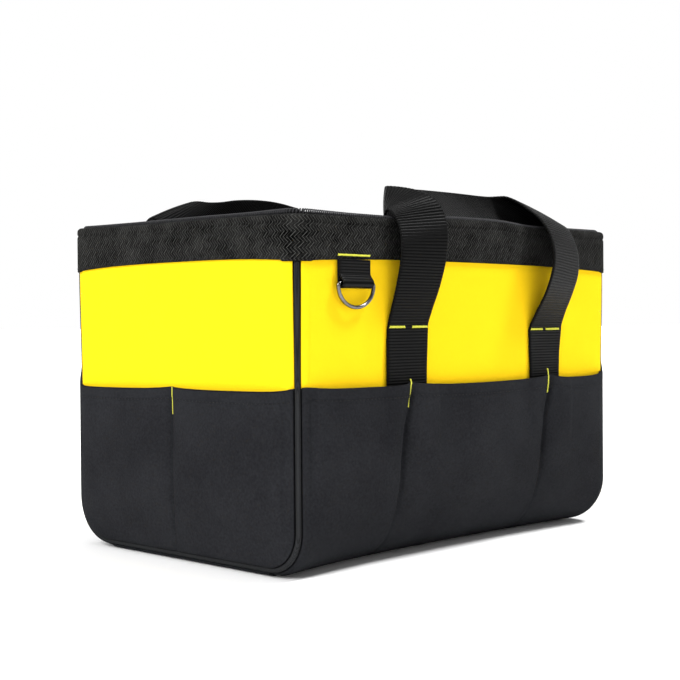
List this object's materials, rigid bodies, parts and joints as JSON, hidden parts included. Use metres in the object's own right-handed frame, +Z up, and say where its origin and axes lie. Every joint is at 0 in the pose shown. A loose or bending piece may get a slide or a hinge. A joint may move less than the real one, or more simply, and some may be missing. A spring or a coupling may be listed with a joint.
{
  "type": "tool bag",
  "caption": "Soft open-topped tool bag with a wide mouth, outer pockets, a zipped rim, webbing handles and hanging D rings.",
  "frame": {"origin": "centre of the bag's footprint, on the floor under the base", "axes": "+X along the long faces, -Y out of the front face with the front D ring at its -X end, +Z up"},
  "size_m": [0.3398, 0.2681, 0.2478],
  "materials": {
    "yellow_cloth": "coated plain-woven polyester, matt with a faint sheen",
    "black_cloth": "coated plain-woven polyester, matt",
    "band_weave": "tight twill-woven binding band, satin",
    "black_webbing": "cross-ribbed woven webbing, satin",
    "black_piping": "smooth bias-cut cloth over a round cord",
    "zip_coil": "moulded nylon coil, satin",
    "zip_tape": "herringbone-woven zip tape, matt",
    "ring_steel": "dark nickel plate, softly polished"
  },
  "bodies": {
    "bag": {"body_wrap": "yellow_cloth", "end_panel_left": "yellow_cloth", "end_panel_right": "yellow_cloth", "front_pockets": "black_cloth", "back_pockets": "black_cloth", "base_panel": "black_cloth", "end_pockets_left": "black_cloth", "end_pockets_right": "black_cloth", "piping_left": "black_piping", "piping_right": "black_piping", "top_band": "band_weave", "zip_tape": "zip_tape", "zip_coil": "zip_coil", "handle_front": "black_webbing", "handle_back": "black_webbing", "ring_tab_front": "black_webbing", "ring_tab_back": "black_webbing"},
    "ring_front": {"d_ring_front": "ring_steel"},
    "ring_back": {"d_ring_back": "ring_steel"}
  },
  "joints": [
    {"name": "ring_front_swing", "type": "hinge", "parent": "bag", "child": "ring_front", "pos_m": [-0.1175, -0.1154, 0.176], "axis": [-1, 0, 0], "range_deg": [0, 150]},
    {"name": "ring_back_swing", "type": "hinge", "parent": "bag", "child": "ring_back", "pos_m": [0.1175, 0.1154, 0.176], "axis": [1, 0, 0], "range_deg": [0, 150]}
  ]
}
